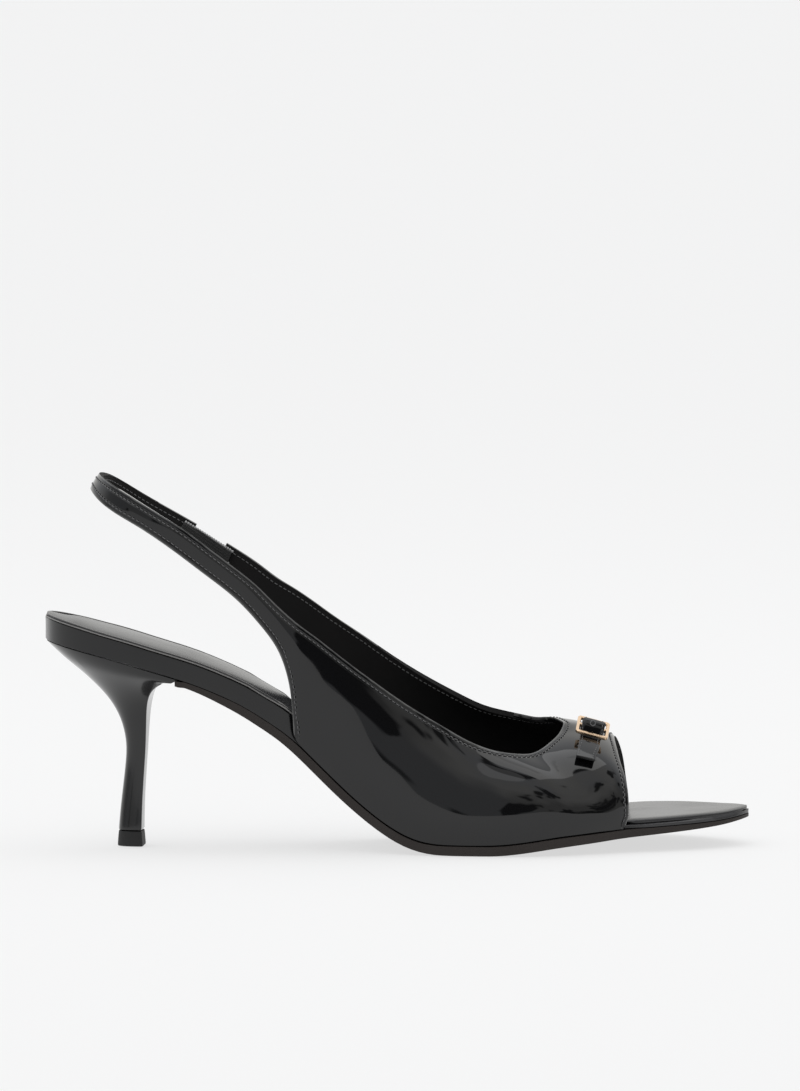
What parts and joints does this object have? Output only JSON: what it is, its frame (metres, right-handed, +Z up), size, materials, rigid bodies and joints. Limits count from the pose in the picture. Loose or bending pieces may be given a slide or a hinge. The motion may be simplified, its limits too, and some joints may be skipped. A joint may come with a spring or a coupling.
{
  "type": "slingback sandal",
  "caption": "Peep-toe slingback sandal for the right foot, patent upper on a flared heel, with a small buckled strap over the vamp.",
  "frame": {"origin": "on the floor, under the middle of the shoe's bounding box", "axes": "+X from the heel to the toe, +Y towards the inner side of the foot, +Z up"},
  "size_m": [0.2388, 0.081, 0.1269],
  "materials": {
    "patent": "high gloss patent",
    "patent_heel": "heel covered in high gloss patent",
    "sock": "satin",
    "sole": "satin",
    "rubber": "matt",
    "elastic": "ribbed elastic webbing",
    "pale_gold": "polished pale gold"
  },
  "bodies": {
    "root": {"outsole": "sole", "heel": "patent_heel", "top_piece": "rubber", "insole_board": "patent", "insole_sock": "sock", "upper": "patent", "elastic_gore": "elastic", "vamp_strap": "patent", "buckle": "pale_gold", "buckle_tab": "patent"}
  },
  "joints": []
}
